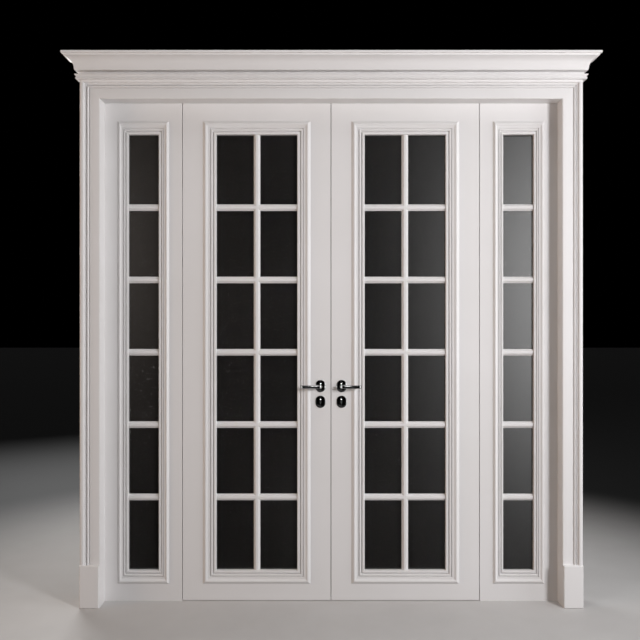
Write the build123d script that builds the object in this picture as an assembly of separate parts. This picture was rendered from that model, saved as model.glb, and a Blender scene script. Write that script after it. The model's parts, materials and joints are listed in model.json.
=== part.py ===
import os

from build123d import *

# Clear opening between the jambs and under the head; X is across, Y into the wall, Z up
OPENING_W = 2081.4
OPENING_H = 2287.6
# Jambs and head as deep as the wall, rebated from behind
WALL_T = 95.0
JAMB_T = 36.0
REBATE_D = 12.0
SHOULDER_Y = 50.5
# Front casing with a raised backband, and the plainer one behind the wall
CASING_W = 88.6
CASING_T = 34.0
BACK_CASING_W = 70.0
BACK_CASING_T = 18.0
BACK_CASING_ARRIS = 3.0
BACK_MARGIN = 6.0
PLINTH_H = 191.0
PLINTH_T = 38.5
PLINTH_ARRIS = 3.0
# Cornice standing on the head casing, lipped down in front of it
CORNICE_OUT = 62.3
CORNICE_H = 102.8
CORNICE_LIP = 7.6
# Leaves, sidelights and the gaps around them
LEAF_T = 44.0
LEAF_PLAY = 0.5
LEAF_GAP = 3.0
FLOOR_GAP = 4.0
SIDELIGHT_W = 357.7
STILE_FLAT = 91.5
SIDELIGHT_FLAT = 59.1
TOP_FLAT = 80.6
BOTTOM_FLAT = 73.7
STILE_TENON = 32.0
TENON_T = 15.0
TENON_SHOULDER = 16.0
# Glazing mouldings and bars
MOULD_W = 62.0
MOULD_H = 9.0
SIDELIGHT_MOULD_W = 48.5
GLASS_T = 6.0
GLASS_PLAY = 2.0
BAR_W = 30.0
BAR_H = 14.0
BAR_COUNT = 5
# Flag hinges, pin fixed in the lower flag
HINGE_COUNT = 3
HINGE_END = 226.0
KNUCKLE_R = 6.5
KNUCKLE_H = 45.0
KNUCKLE_GAP = 0.5
KNUCKLE_OFF = 7.5
PIN_R = 3.5
PIN_PLAY = 0.06
PIN_RISE = 40.0
FLAG_T = 2.5
FLAG_REACH = 33.0
# Lever furniture
SPINDLE_X = 48.5
SPINDLE_Z = 987.5
KEY_DROP = 72.0
ROSETTE_W = 45.0
ROSETTE_H = 56.0
ROSETTE_T = 8.0
HUB_R = 8.0
HUB_GAP = 0.3
LEVER_REACH = 89.0
LEVER_OUT = 51.5
LEVER_T = 15.0
LEVER_D = 11.0
LEVER_RETURN = 20.0
LEVER_BEND_R = 10.0
LEVER_INNER_R = 3.0
SPINDLE_S = 8.0
SPINDLE_END = 24.0
BORE_R = 7.0
HOLE_SIDES = 8
KEYHOLE_R = 3.6
KEYSLOT_W = 3.2
KEYSLOT_H = 9.0
# Mortice lock, its bolts and the strike
LOCK_T = 16.0
LOCK_WALL = 25.0
LOCK_H = 165.0
LOCK_DROP = 97.0
FACEPLATE_W = 20.0
FACEPLATE_H = 235.0
FACEPLATE_T = 3.0
BOLT_T = 12.0
BOLT_PLAY = 0.4
LATCH_H = 18.0
LATCH_RISE = 22.0
LATCH_THROW = 12.0
LATCH_LENGTH = 50.0
DEADBOLT_H = 24.0
DEADBOLT_THROW = 20.0
DEADBOLT_LENGTH = 48.0
DEADBOLT_INSET = 0.5
STRIKE_H = 160.0
POCKET_PLAY = 1.5
POCKET_DEPTH = 24.0
# Seals
SEAL_W = 4.0
SEAL_DEPTH = 5.0
SEAL_OUT = 0.2
SEAL_RISE = 2.0
MEETING_SEAL_BACK = 3.0
MEETING_SEAL_W = 6.0
MEETING_SEAL_OUT = 2.7

# Profiles as shares of their width and height, a pair for a straight step, two pairs for an arc
CASING_SHARES = (
    (0.0, 0.78), ((0.04, 0.93), (0.13, 1.0)), ((0.19, 0.97), (0.226, 0.87)), (0.237, 0.77),
    (0.305, 0.75), (0.327, 0.6), ((0.39, 0.79), (0.452, 0.62)), (0.48, 0.647),
    (0.98, 0.647), (1.0, 0.59), (1.0, 0.0),
)
MOULD_SHARES = (
    (0.0, 0.16), (0.13, 0.36), (0.226, 0.84), (0.29, 1.0), (0.37, 1.0), (0.435, 0.84),
    (0.548, 0.47), (0.561, 0.13), (0.6, 0.13), (0.65, 0.42), (0.7, 0.42), (0.758, 0.02),
    (0.771, -0.24), (0.871, -0.29), (0.95, -0.2), (1.0, -0.555),
)
MOULD_LAP_SHARE = 0.32
BAR_SHARES = ((1.0, 0.36), (0.52, 0.8), (0.3, 1.0))
CORNICE_SHARES = (
    (0.2, 0.0), ((0.215, 0.03), (0.2, 0.06)), ((0.18, 0.1), (0.2, 0.14)), (0.266, 0.15),
    (0.266, 0.195), (0.13, 0.195), (0.13, 0.345), (0.266, 0.345), (0.276, 0.365),
    ((0.42, 0.65), (0.8, 0.768)),
    (0.86, 0.768), (0.86, 0.872), (1.0, 0.872), (1.0, 0.985), (0.985, 1.0), (0.0, 1.0),
)
LATCH_NOSE_SHARE = 0.25

HALF_W = OPENING_W / 2
OUTER_X = HALF_W + JAMB_T
CASING_X = HALF_W + CASING_W
REBATE_X = HALF_W + REBATE_D
REBATE_Z = OPENING_H + REBATE_D
HEAD_Z = OPENING_H + JAMB_T
CASING_Z = OPENING_H + CASING_W
LEAF_Y = SHOULDER_Y + LEAF_PLAY
LEAF_EDGE = LEAF_GAP / 2
LEAF_LINE_X = HALF_W - SIDELIGHT_W
LEAF_X = LEAF_LINE_X - LEAF_EDGE
LEAF_TOP = REBATE_Z - LEAF_GAP
SIDELIGHT_X = LEAF_LINE_X + LEAF_EDGE
LEAF_MID = (LEAF_EDGE + LEAF_X) / 2
SIDELIGHT_MID = (SIDELIGHT_X + HALF_W) / 2
LEAF_RING_W = LEAF_X - LEAF_EDGE - STILE_FLAT * 2
SIDELIGHT_RING_W = HALF_W - SIDELIGHT_X - SIDELIGHT_FLAT * 2
RING_Z = FLOOR_GAP + BOTTOM_FLAT
RING_H = OPENING_H - TOP_FLAT - RING_Z
RING_MID = RING_Z + RING_H / 2
GLASS_IN = (LEAF_T - GLASS_T) / 2
AXIS_Y = LEAF_Y + LEAF_T + KNUCKLE_OFF
LOCK_Y = LEAF_Y + LEAF_T / 2
LOCK_DEPTH = STILE_FLAT + MOULD_W * MOULD_LAP_SHARE - LOCK_WALL
KEY_Z = SPINDLE_Z - KEY_DROP
LATCH_Z = SPINDLE_Z + LATCH_RISE
LOCK_Z = SPINDLE_Z - LOCK_DROP + LOCK_H / 2
HINGE_Z = [
    FLOOR_GAP + HINGE_END + i * (LEAF_TOP - FLOOR_GAP - HINGE_END - HINGE_END) / (HINGE_COUNT - 1)
    for i in range(HINGE_COUNT)
]


def block(x0, x1, y0, y1, z0, z1):
    """A box between two corners."""
    return Pos((x0 + x1) / 2, (y0 + y1) / 2, (z0 + z1) / 2) * Box(x1 - x0, y1 - y0, z1 - z0)


def sided(shape, side):
    """The right-hand shape, or its mirror image on the left."""
    return shape if side > 0 else mirror(shape, about=Plane.YZ)


def save(name, *shapes):
    """Writes one node holding every solid of the shapes."""
    solids = [solid for shape in shapes for solid in shape.solids()]
    export_step(Compound(solids), f"parts/{name}.step")


def outline(start, steps):
    """A closed face from straight steps and arcs, each arc a middle and an end point."""
    edges, here = [], start
    for step in steps:
        if isinstance(step[0], tuple):
            edges.append(ThreePointArc(here, *step))
            here = step[1]
        else:
            edges.append(Line(here, step))
            here = step
    edges.append(Line(here, start))
    return Face(Wire(edges))


def scaled(shares, width, height):
    """A table of shares turned into steps of real lengths."""
    return [
        tuple((u * width, v * height) for u, v in step)
        if isinstance(step[0], tuple)
        else (step[0] * width, step[1] * height)
        for step in shares
    ]


def moulded(face, start, across, rise, length):
    """A profile carried along a straight length, its width and height along the two directions."""
    run = across.cross(rise)
    plane = Plane(origin=start, x_dir=across, z_dir=run)
    return extrude(plane.location * face, amount=length, dir=run)


def cut_mitre(shape, corner, along, rise, inside):
    """Keeps the part of a length on the inside of a mitre through a corner."""
    normal = along.cross(rise)
    if normal.dot(inside) < 0:
        normal = -normal
    return split(shape, bisect_by=Plane(origin=corner, z_dir=normal), keep=Keep.TOP)


def member(face, corner, across, rise, length, width, next_width):
    """One mitred length of a ring or casing that runs from a corner, mitred at both ends."""
    run = across.cross(rise)
    shape = moulded(face, corner, across, rise, length)
    shape = cut_mitre(shape, corner, across * width + run * next_width, rise, run)
    end = corner + run * length
    return cut_mitre(shape, end, across * width - run * next_width, rise, -run)


def jamb():
    """A side jamb, taller behind the rebate so that it meets the stepped head."""
    front = block(HALF_W, OUTER_X, 0, SHOULDER_Y, 0, OPENING_H)
    return front + block(REBATE_X, OUTER_X, SHOULDER_Y, WALL_T, 0, REBATE_Z)


def head_seal_block():
    """The strip let into the shoulder of the head over both leaves."""
    low = OPENING_H + SEAL_RISE
    return block(
        -LEAF_X, LEAF_X, SHOULDER_Y - SEAL_DEPTH, SHOULDER_Y + SEAL_OUT, low, low + SEAL_W
    )


def head():
    """The head across both jambs, grooved for its seal."""
    front = block(-OUTER_X, OUTER_X, 0, SHOULDER_Y, OPENING_H, HEAD_Z)
    back = block(-OUTER_X, OUTER_X, SHOULDER_Y, WALL_T, REBATE_Z, HEAD_Z)
    return front + back - head_seal_block()


def casing_side():
    """A side casing on its plinth block, mitred at the top."""
    face = outline((0, 0), scaled(CASING_SHARES, CASING_W, CASING_T))
    across, rise = Vector(-1, 0, 0), Vector(0, -1, 0)
    upright = moulded(face, Vector(CASING_X, 0, PLINTH_H), across, rise, CASING_Z - PLINTH_H)
    down = Vector(0, 0, -1)
    return cut_mitre(upright, Vector(CASING_X, 0, CASING_Z), across + down, rise, down)


def casing_head():
    """The head casing, mitred to both sides."""
    face = outline((0, 0), scaled(CASING_SHARES, CASING_W, CASING_T))
    across, rise = Vector(0, 0, -1), Vector(0, -1, 0)
    corner = Vector(0, 0, CASING_Z) - across.cross(rise) * CASING_X
    return member(face, corner, across, rise, CASING_X * 2, CASING_W, CASING_W)


def plinth():
    """A plinth block with eased front edges."""
    shape = block(HALF_W, CASING_X, -PLINTH_T, 0, 0, PLINTH_H)
    front = shape.faces().sort_by(Axis.Y)[0]
    return chamfer(front.edges(), PLINTH_ARRIS)


def back_casing():
    """Three flat lengths around the back of the frame, mitred, eased on both long edges."""
    x, z = REBATE_X + BACK_MARGIN + BACK_CASING_W, REBATE_Z + BACK_MARGIN + BACK_CASING_W
    low, top = BACK_CASING_T - BACK_CASING_ARRIS, BACK_CASING_T
    near, far = BACK_CASING_ARRIS, BACK_CASING_W - BACK_CASING_ARRIS
    face = outline((0, 0), [(0, low), (near, top), (far, top), (BACK_CASING_W, low), (BACK_CASING_W, 0)])
    rise, down = Vector(0, 1, 0), Vector(0, 0, -1)
    run = down.cross(rise)
    corner = Vector(0, WALL_T, z) - run * x
    over = member(face, corner, down, rise, x * 2, BACK_CASING_W, BACK_CASING_W)
    corner, across = Vector(x, WALL_T, z), Vector(-1, 0, 0)
    upright = moulded(face, corner, across, rise, z)
    upright = cut_mitre(upright, corner, across + down, rise, down)
    return [over, upright, sided(upright, -1)]


def cornice_face():
    """The moulded part of the cornice, outwards from the face of the backband."""
    height = CORNICE_H + CORNICE_LIP
    return outline((0, 0), scaled(CORNICE_SHARES, CORNICE_OUT, height))


def cornice_front():
    """The front of the cornice with its core over the casing, mitred to the returns."""
    low, out, up = CASING_Z - CORNICE_LIP, Vector(0, -1, 0), Vector(0, 0, 1)
    run = out.cross(up)
    reach = CASING_X + CORNICE_OUT
    corner = Vector(0, -CASING_T, low) - run * reach
    shape = moulded(cornice_face(), corner, out, up, reach * 2)
    for side in (run, -run):
        mitre = Vector(0, -CASING_T, low) + side * CASING_X
        shape = cut_mitre(shape, mitre, out + side, up, -side)
    core = block(-CASING_X, CASING_X, -CASING_T, 0, CASING_Z, CASING_Z + CORNICE_H)
    return shape + core


def cornice_return():
    """The right-hand return, from its mitre back to the wall."""
    low, out, up = CASING_Z - CORNICE_LIP, Vector(1, 0, 0), Vector(0, 0, 1)
    run = out.cross(up)
    shape = moulded(cornice_face(), Vector(CASING_X, 0, low), out, up, CASING_T + CORNICE_OUT)
    mitre = Vector(CASING_X, -CASING_T, low)
    return cut_mitre(shape, mitre, out + run, up, -run)


def tenon(x0, x1, z0, z1, front):
    """A tenon in the middle of the thickness, short of both edges of its rail."""
    y = front + LEAF_T / 2
    return block(x0, x1, y - TENON_T / 2, y + TENON_T / 2, z0 + TENON_SHOULDER, z1 - TENON_SHOULDER)


def panel_frame(x0, x1, front, z0, z1, mid, ring_w, mould_w):
    """Two stiles and two tenoned rails around the glazed opening: inner, outer, top, bottom."""
    half = ring_w / 2 - mould_w * MOULD_LAP_SHARE
    lap = MOULD_W * MOULD_LAP_SHARE
    left, right = mid - half, mid + half
    low, high = RING_Z + lap, RING_Z + RING_H - lap
    back = front + LEAF_T
    inner = block(x0, left, front, back, z0, z1)
    outer = block(right, x1, front, back, z0, z1)
    rails = []
    for bottom, top in ((high, z1), (z0, low)):
        rail = block(left, right, front, back, bottom, top)
        for a, b in ((left - STILE_TENON, left), (right, right + STILE_TENON)):
            peg = tenon(a, b, bottom, top, front)
            rail += peg
            inner -= peg
            outer -= peg
        rails.append(rail)
    return inner, outer, rails[0], rails[1]


def pane(front, mid, ring_w, mould_w):
    """The glass, held by the mouldings on both faces and short of the stiles."""
    half = ring_w / 2 - mould_w * MOULD_LAP_SHARE - GLASS_PLAY
    inset = MOULD_W * MOULD_LAP_SHARE + GLASS_PLAY
    y = front + GLASS_IN
    return block(mid - half, mid + half, y, y + GLASS_T, RING_Z + inset, RING_Z + RING_H - inset)


def mould_face(width):
    """The bolection section from its outer edge over the stile down to the glass."""
    lap = width * MOULD_LAP_SHARE
    steps = scaled(MOULD_SHARES, width, MOULD_H)
    return outline((0, 0), [*steps, (width, -GLASS_IN), (lap, -GLASS_IN), (lap, 0)])


def mouldings(front, mid, ring_w, mould_w):
    """A ring of four mitred and glued lengths on each face, the uprights as wide as asked."""
    rings = []
    for rise, y in ((Vector(0, -1, 0), front), (Vector(0, 1, 0), front + LEAF_T)):
        centre, lengths = Vector(mid, y, RING_MID), []
        for x, z in ((1, 0), (-1, 0), (0, 1), (0, -1)):
            across = Vector(-x, 0, -z)
            run = across.cross(rise)
            upright = x != 0
            out, length = (ring_w / 2, RING_H) if upright else (RING_H / 2, ring_w)
            width, other = (mould_w, MOULD_W) if upright else (MOULD_W, mould_w)
            corner = centre - across * out - run * (length / 2)
            lengths.append(member(mould_face(width), corner, across, rise, length, width, other))
        rings.append(lengths[0].fuse(*lengths[1:]))
    return rings


def bar_face():
    """The section of a glazing bar, planted on the glass."""
    half = scaled(BAR_SHARES, BAR_W / 2, BAR_H)
    other = [(-u, v) for u, v in reversed(half)]
    return outline((BAR_W / 2, 0), [*half, *other, (-BAR_W / 2, 0)])


def bars(front, mid, ring_w, mould_w, uprights):
    """The lattice of bars on each face of the glass, joined where they cross."""
    wide, tall = ring_w - mould_w * 2, RING_H - MOULD_W * 2
    lattices = []
    for rise, y in ((Vector(0, -1, 0), front + GLASS_IN), (Vector(0, 1, 0), front + GLASS_IN + GLASS_T)):
        lattice = []
        for i in range(BAR_COUNT):
            z = RING_MID + ((i + 1) / (BAR_COUNT + 1) - 1 / 2) * tall
            across = Vector(0, 0, 1)
            start = Vector(mid, y, z) - across.cross(rise) * (wide / 2)
            lattice.append(moulded(bar_face(), start, across, rise, wide))
        if uprights:
            across = Vector(1, 0, 0)
            start = Vector(mid, y, RING_MID) - across.cross(rise) * (tall / 2)
            upright = moulded(bar_face(), start, across, rise, tall)
            for bar in lattice:
                upright += bar
            lattice = [upright]
        lattices += lattice
    return lattices


def flag(x, z0, z1):
    """A hinge half seen from above: a knuckle on the pin axis with a plate against a stile edge."""
    edge, far = x - LEAF_LINE_X, x - LEAF_LINE_X + FLAG_T
    foot = LEAF_Y + LEAF_T - FLAG_REACH - AXIS_Y
    near, wide = [-((KNUCKLE_R**2 - u**2) ** 0.5) for u in (edge, far)]
    face = outline((edge, foot), [(far, foot), (far, wide), ((0, KNUCKLE_R), (edge, near))])
    return extrude(Pos(LEAF_LINE_X, AXIS_Y, z0) * face, amount=z1 - z0, dir=(0, 0, 1))


def round_pin(radius, z0, z1):
    """A pin or its bore on the hinge axis."""
    return Pos(LEAF_LINE_X, AXIS_Y, (z0 + z1) / 2) * Cylinder(radius, z1 - z0)


def frame_flags():
    """The lower hinge halves with their pins, on the sidelight."""
    flags = []
    for z in HINGE_Z:
        top = z - KNUCKLE_GAP / 2
        pin = round_pin(PIN_R, top - KNUCKLE_GAP, top + PIN_RISE)
        flags.append(flag(SIDELIGHT_X, z - KNUCKLE_H, top) + pin)
    return flags


def leaf_flags():
    """The upper hinge halves, bored to turn on the pins."""
    flags = []
    for z in HINGE_Z:
        low = z + KNUCKLE_GAP / 2
        bore = round_pin(PIN_R + PIN_PLAY, low, low + PIN_RISE)
        flags.append(flag(LEAF_X - FLAG_T, low, z + KNUCKLE_H) - bore)
    return flags


def cut_flags(stile, flags):
    """Lets the hinge plates into the edge of a stile."""
    for flag in flags:
        stile -= flag
    return stile


def across_hole(z, radius):
    """A hole right through the leaf under the rosettes, eight-sided to stay light."""
    plane = Plane(origin=(SPINDLE_X, LOCK_Y, z), x_dir=(1, 0, 0), z_dir=(0, 1, 0))
    return extrude(plane * RegularPolygon(radius, HOLE_SIDES), amount=LEAF_T, both=True)


def key_slot(wide):
    """A slot for the key right through the leaf."""
    return block(
        SPINDLE_X - wide / 2, SPINDLE_X + wide / 2, LEAF_Y - LEAF_T, LEAF_Y + LEAF_T * 2,
        KEY_Z - KEYSLOT_H, KEY_Z + KEYHOLE_R,
    )


def keyhole():
    """The keyhole of a rosette."""
    low = key_slot(KEYSLOT_W) & block(0, LEAF_X, -LEAF_X, LEAF_X, 0, KEY_Z)
    return across_hole(KEY_Z, KEYHOLE_R) + low


def rosettes(z, opening):
    """A pair of oval rosettes, one on each face of the leaf."""
    pair = []
    for rise, y in ((-1, LEAF_Y), (1, LEAF_Y + LEAF_T)):
        plane = Plane(origin=(SPINDLE_X, y, z), x_dir=(1, 0, 0), z_dir=(0, rise, 0))
        oval = SlotOverall(ROSETTE_H, ROSETTE_W, rotation=90)
        plate = extrude(plane * oval, amount=ROSETTE_T)
        pair.append(plate - opening)
    return pair


def lever_plan():
    """The grip seen from above, from the neck to a tip returning to the leaf."""
    inner, tip = LEVER_OUT - LEVER_D, LEVER_REACH - LEVER_D
    points = [
        (-HUB_R, inner), (-HUB_R, LEVER_OUT), (LEVER_REACH, LEVER_OUT),
        (LEVER_REACH, LEVER_OUT - LEVER_RETURN), (tip, LEVER_OUT - LEVER_RETURN), (tip, inner),
    ]
    face = make_face(Polyline(*points, close=True))
    face = fillet(face.vertices().group_by(Axis.Y)[-1], LEVER_BEND_R)
    return fillet([v for v in face.vertices() if v.Y == inner and v.X == tip], LEVER_INNER_R)


def lever(rise):
    """A right-hand lever on the front face or the back face, with a socket for the spindle."""
    grip = extrude(lever_plan(), amount=LEVER_T / 2, both=True)
    foot, top = ROSETTE_T + HUB_GAP, LEVER_OUT - LEVER_D
    neck = Pos(0, (foot + top) / 2, 0) * Rot(90, 0, 0) * Cylinder(HUB_R, top - foot)
    socket = Pos(0, SPINDLE_END / 2, 0) * Box(SPINDLE_S, SPINDLE_END, SPINDLE_S)
    shape = grip + neck - socket
    if rise < 0:
        shape = mirror(shape, about=Plane.XZ)
    y = LEAF_Y if rise < 0 else LEAF_Y + LEAF_T
    return Pos(SPINDLE_X, y, SPINDLE_Z) * shape


def spindle():
    """The square spindle from lever to lever."""
    length = LEAF_T + SPINDLE_END * 2
    return Pos(SPINDLE_X, LOCK_Y, SPINDLE_Z) * Box(SPINDLE_S, length, SPINDLE_S)


def bolt_block(x0, x1, z, height, play):
    """A bolt or its tunnel, centred in the thickness of the leaf."""
    half, tall = BOLT_T / 2 + play, height / 2 + play
    return block(x0, x1, LOCK_Y - half, LOCK_Y + half, z - tall, z + tall)


def latch():
    """The latch bolt, standing out of the leaf, with its nose bevelled for closing."""
    x0 = LEAF_EDGE - LATCH_THROW
    bolt = bolt_block(x0, x0 + LATCH_LENGTH, LATCH_Z, LATCH_H, 0)
    flat = BOLT_T * LATCH_NOSE_SHARE
    front, back = LOCK_Y - BOLT_T / 2, LOCK_Y + BOLT_T / 2
    nose = outline((x0, front), [(x0, back - flat), (LEAF_EDGE - LEAF_PLAY, front)])
    low = LATCH_Z - LATCH_H / 2
    return bolt - extrude(Pos(0, 0, low) * nose, amount=LATCH_H, dir=(0, 0, 1))


def deadbolt():
    """The dead bolt, drawn back inside its faceplate."""
    x0 = LEAF_EDGE + DEADBOLT_INSET
    return bolt_block(x0, x0 + DEADBOLT_LENGTH, KEY_Z, DEADBOLT_H, 0)


def lock_blank():
    """Lock case and faceplate before the bolts and the spindle are cut through."""
    half, wide = LOCK_T / 2, FACEPLATE_W / 2
    case = block(
        LEAF_EDGE, LEAF_EDGE + LOCK_DEPTH, LOCK_Y - half, LOCK_Y + half,
        LOCK_Z - LOCK_H / 2, LOCK_Z + LOCK_H / 2,
    )
    plate = block(
        LEAF_EDGE, LEAF_EDGE + FACEPLATE_T, LOCK_Y - wide, LOCK_Y + wide,
        LOCK_Z - FACEPLATE_H / 2, LOCK_Z + FACEPLATE_H / 2,
    )
    return case + plate


def lock_case():
    """The lock with its two tunnels, follower hole and keyhole."""
    depth = LATCH_LENGTH + LATCH_THROW
    case = lock_blank() - bolt_block(0, depth, LATCH_Z, LATCH_H, BOLT_PLAY)
    case -= bolt_block(0, DEADBOLT_LENGTH + DEADBOLT_THROW, KEY_Z, DEADBOLT_H, BOLT_PLAY)
    return case - across_hole(SPINDLE_Z, BORE_R) - key_slot(KEYHOLE_R * 2)


def strike_blank():
    """The strike, in right-hand terms, before its openings."""
    wide, mid = FACEPLATE_W / 2, (LATCH_Z + KEY_Z) / 2
    return block(
        LEAF_EDGE, LEAF_EDGE + FACEPLATE_T, LOCK_Y - wide, LOCK_Y + wide,
        mid - STRIKE_H / 2, mid + STRIKE_H / 2,
    )


def strike_pockets():
    """The pockets that take the latch and the dead bolt, in right-hand terms."""
    latch_pocket = bolt_block(0, POCKET_DEPTH, LATCH_Z, LATCH_H, POCKET_PLAY)
    return latch_pocket + bolt_block(0, POCKET_DEPTH, KEY_Z, DEADBOLT_H, POCKET_PLAY)


def meeting_seal():
    """The strip near the back face that closes the gap between the leaves."""
    back = LEAF_Y + LEAF_T - MEETING_SEAL_BACK
    return block(
        LEAF_EDGE - MEETING_SEAL_OUT, LEAF_EDGE + FACEPLATE_T, back - MEETING_SEAL_W, back,
        FLOOR_GAP, LEAF_TOP,
    )


def save_frame():
    """Everything that stands still around the panels."""
    for name, side in (("left", -1), ("right", 1)):
        save(f"{name}_jamb", sided(jamb(), side))
        save(f"{name}_casing", sided(casing_side(), side))
        save(f"{name}_plinth_block", sided(plinth(), side))
        save(f"cornice_{name}_return", sided(cornice_return(), side))
    save("head_jamb", head())
    save("head_seal", head_seal_block())
    save("head_casing", casing_head())
    save("cornice_front", cornice_front())
    save("back_casing", *back_casing())


def save_panel(name, side, parts, glazing, uprights):
    """Stiles, rails, glass, mouldings and bars of one leaf or sidelight."""
    for piece, shape in parts.items():
        save(f"{name}_{piece}", sided(shape, side))
    save(f"{name}_glass", sided(pane(*glazing), side))
    save(f"{name}_mouldings", *[sided(m, side) for m in mouldings(*glazing)])
    save(f"{name}_bars", *[sided(b, side) for b in bars(*glazing, uprights)])


def save_sidelights():
    """The two fixed panels with the lower hinge flags let into their inner stiles."""
    glazing = (SHOULDER_Y, SIDELIGHT_MID, SIDELIGHT_RING_W, SIDELIGHT_MOULD_W)
    inner, outer, top, bottom = panel_frame(
        SIDELIGHT_X, REBATE_X, SHOULDER_Y, 0, REBATE_Z, *glazing[1:]
    )
    flags = frame_flags()
    inner = cut_flags(inner, flags)
    parts = {"inner_stile": inner, "outer_stile": outer, "top_rail": top, "bottom_rail": bottom}
    for name, side in (("left", -1), ("right", 1)):
        save_panel(f"{name}_sidelight", side, parts, glazing, False)
        save(f"{name}_hinge_frame_halves", *[sided(f, side) for f in flags])


def save_leaves():
    """The two moving leaves with their hinge flags, rosettes, lock and strike."""
    glazing = (LEAF_Y, LEAF_MID, LEAF_RING_W, MOULD_W)
    meeting, hinge, top, bottom = panel_frame(
        LEAF_EDGE, LEAF_X, LEAF_Y, FLOOR_GAP, LEAF_TOP, *glazing[1:]
    )
    flags = leaf_flags()
    hinge = cut_flags(hinge, flags)
    meeting = meeting - across_hole(SPINDLE_Z, BORE_R) - key_slot(KEYHOLE_R * 2)
    stiles = {
        "left": meeting - strike_blank() - strike_pockets(),
        "right": meeting - lock_blank() - meeting_seal(),
    }
    for name, side in (("left", -1), ("right", 1)):
        parts = {
            "meeting_stile": stiles[name], "hinge_stile": hinge, "top_rail": top, "bottom_rail": bottom,
        }
        save_panel(f"{name}_leaf", side, parts, glazing, True)
        save(f"{name}_hinge_leaf_halves", *[sided(f, side) for f in flags])
        pairs = rosettes(SPINDLE_Z, across_hole(SPINDLE_Z, BORE_R)) + rosettes(KEY_Z, keyhole())
        save(f"{name}_rosettes", *[sided(r, side) for r in pairs])
        save(f"{name}_front_lever", sided(lever(-1), side))
        save(f"{name}_back_lever", sided(lever(1), side))
        save(f"{name}_spindle", sided(spindle(), side))
    save("lock_case", lock_case())
    save("latch_bolt", latch())
    save("dead_bolt", deadbolt())
    save("strike_plate", sided(strike_blank() - strike_pockets(), -1))
    save("meeting_seal", meeting_seal())


os.makedirs("parts", exist_ok=True)
save_frame()
save_sidelights()
save_leaves()
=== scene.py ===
"""Looks of a white double door with two sidelights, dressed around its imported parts."""

import json
import logging
import math
from dataclasses import dataclass, field
from enum import Enum, auto

import bmesh
import bpy
import numpy as np
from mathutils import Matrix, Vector


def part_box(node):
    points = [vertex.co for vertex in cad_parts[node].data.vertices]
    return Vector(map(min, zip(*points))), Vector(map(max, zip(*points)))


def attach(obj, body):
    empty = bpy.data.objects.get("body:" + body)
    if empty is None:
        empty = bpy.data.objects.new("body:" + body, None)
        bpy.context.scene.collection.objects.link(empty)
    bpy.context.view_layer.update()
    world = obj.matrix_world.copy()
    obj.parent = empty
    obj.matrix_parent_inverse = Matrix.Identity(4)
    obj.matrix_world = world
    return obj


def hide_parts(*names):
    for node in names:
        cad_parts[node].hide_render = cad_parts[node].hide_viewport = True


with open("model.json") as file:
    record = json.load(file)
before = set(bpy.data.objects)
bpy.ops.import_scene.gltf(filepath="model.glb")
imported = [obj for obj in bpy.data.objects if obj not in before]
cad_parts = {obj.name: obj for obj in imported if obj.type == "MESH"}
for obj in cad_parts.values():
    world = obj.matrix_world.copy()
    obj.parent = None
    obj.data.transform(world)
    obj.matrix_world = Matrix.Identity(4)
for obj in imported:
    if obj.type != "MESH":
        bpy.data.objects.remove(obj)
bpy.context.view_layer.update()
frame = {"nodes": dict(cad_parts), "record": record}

logging.basicConfig(level=logging.INFO, format="%(message)s")
LOG = logging.getLogger("door")

# Parts with one of these words in their names are brushed along X.
LEVEL_WORDS = ("rail", "head_", "cornice_front")

# Lengths are in metres, and points of a piece within the merge gap become one.
MM = 0.001
MERGE_GAP = 0.002 * MM
TINY = 1e-9
SHARP_ANGLE = math.radians(32)
# An eased corner takes up at most this share of each of its sides.
SIDE_LIMIT_SHARE = 0.49
# Most of a noise lies between these values.
NOISE_ENDS = (0.3, 0.7)
# Numbers of the colour sockets of a mix node, which share their names with others.
MIX_LOW, MIX_HIGH, MIX_RESULT = 6, 7, 2

Pair = tuple[float, float]
Place = tuple[float, float, float]
Colour = tuple[float, float, float]
Mesh = tuple[np.ndarray, list[np.ndarray]]


class Option(Enum):
    """A choice among named options."""

    @property
    def word(self) -> str:
        """The choice as it stands in the names of pieces."""
        return self.name.lower()


class Side(Option):
    """The two hands of the door, as signs of X."""

    LEFT = -1
    RIGHT = 1


class Face(Option):
    """The two faces of a leaf or sidelight, as signs of Y."""

    FRONT = -1
    BACK = 1


class Panel(Option):
    """The two kinds of glazed panel."""

    LEAF = auto()
    SIDELIGHT = auto()


class Run(Option):
    """The way in which a brush was drawn along a board, as a stretch of each axis."""

    UPRIGHT = (1.0, 1.0, 0.035)
    LEVEL = (0.035, 1.0, 1.0)


class Slot(Option):
    """The material slots of the record."""

    PAINT = "white_paint"
    GLASS = "glass"
    CHROME = "chrome"
    STEEL = "satin_steel"
    RUBBER = "seal_rubber"


# Materials


def rgba(colour: Colour) -> tuple[float, float, float, float]:
    """The colour with full opacity."""
    return (*colour, 1.0)


def add_node(tree: bpy.types.NodeTree, kind: str, **values: object) -> bpy.types.Node:
    """Adds one shader node and sets its properties and sockets.

    Args:
        tree: the node tree of a material or world.
        kind: the node's type name, without the prefix that all of them share.
        **values: values by the name of a property, by the name of a socket with underscores for
            spaces, or by input_ and a socket's number. A value that is a socket is linked.

    Returns:
        The new node.
    """
    node = tree.nodes.new(f"ShaderNode{kind}")
    for name, value in values.items():
        if hasattr(node, name):
            setattr(node, name, value)
            continue
        number = name.removeprefix("input_")
        socket = node.inputs[int(number) if number.isdigit() else name.replace("_", " ")]
        if isinstance(value, bpy.types.NodeSocket):
            tree.links.new(value, socket)
        else:
            socket.default_value = value
    return node


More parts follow.
